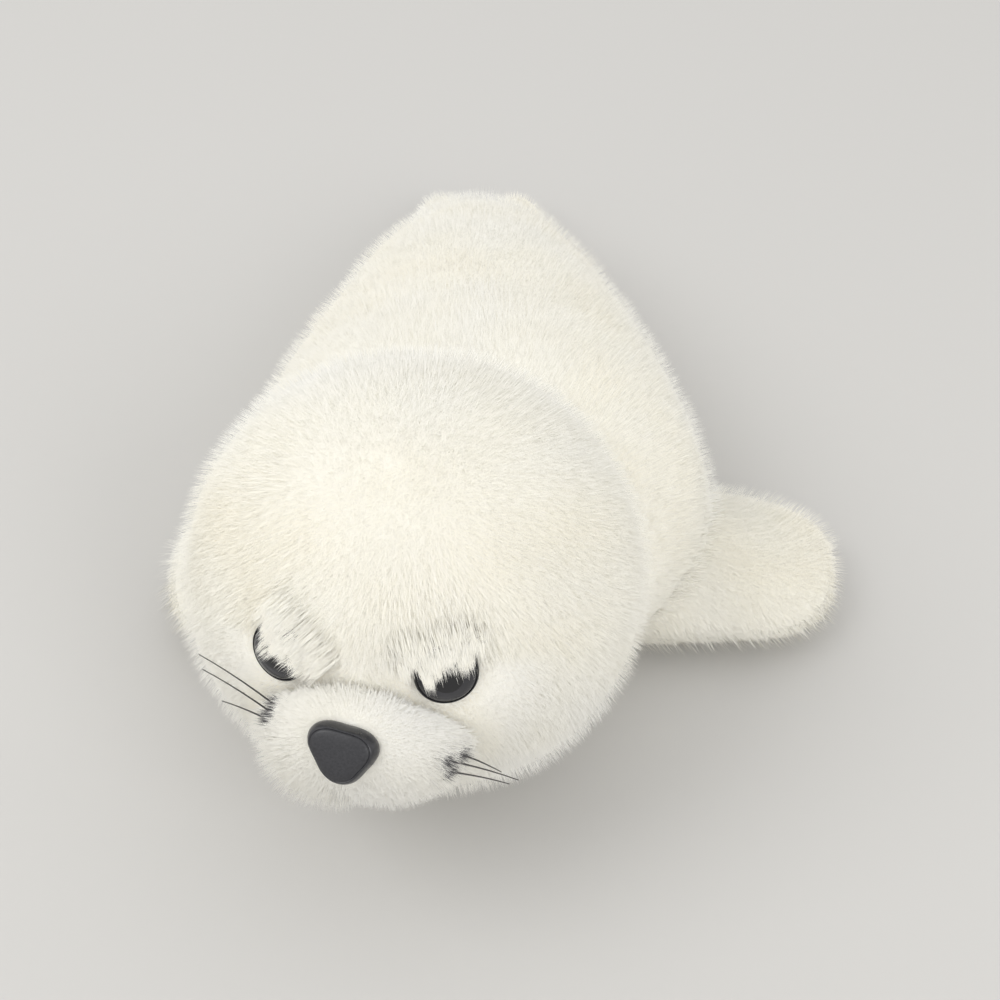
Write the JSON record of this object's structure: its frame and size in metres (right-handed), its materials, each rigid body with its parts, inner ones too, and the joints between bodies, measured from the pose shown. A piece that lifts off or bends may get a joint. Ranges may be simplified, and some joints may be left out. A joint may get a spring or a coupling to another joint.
{
  "type": "plush seal",
  "caption": "Plush seal pup lying on its belly, with a large round head turned to one side, a short muzzle, domed eyes, a triangular nose, whiskers and stubby flippers.",
  "frame": {"origin": "on the flat of the belly, on the body's middle line", "axes": "-Z out of the belly towards the surface it lies on, +Y towards the tail along its longest side, the face looks along -Y, +X is the animal's own left"},
  "size_m": [0.2309, 0.3626, 0.1381],
  "materials": {
    "long_pile": "long soft cream acrylic pile",
    "short_pile": "short dense off-white pile",
    "eye_plastic": "polished black",
    "nose_plastic": "satin dark grey with a fine grain",
    "washer_plastic": "plain moulded",
    "filament": "dark translucent monofilament"
  },
  "bodies": {
    "root": {"body": "long_pile", "head": "long_pile", "muzzle": "short_pile", "front_flipper_left": "long_pile", "front_flipper_right": "long_pile", "hind_flipper_left": "long_pile", "hind_flipper_right": "long_pile", "eye_left": "eye_plastic", "eye_right": "eye_plastic", "eye_washer_left": "washer_plastic", "eye_washer_right": "washer_plastic", "nose": "nose_plastic", "nose_washer": "washer_plastic", "whisker_left_upper": "filament", "whisker_left_lower": "filament", "whisker_left_rear": "filament", "whisker_right_upper": "filament", "whisker_right_middle": "filament", "whisker_right_lower": "filament"}
  },
  "joints": []
}
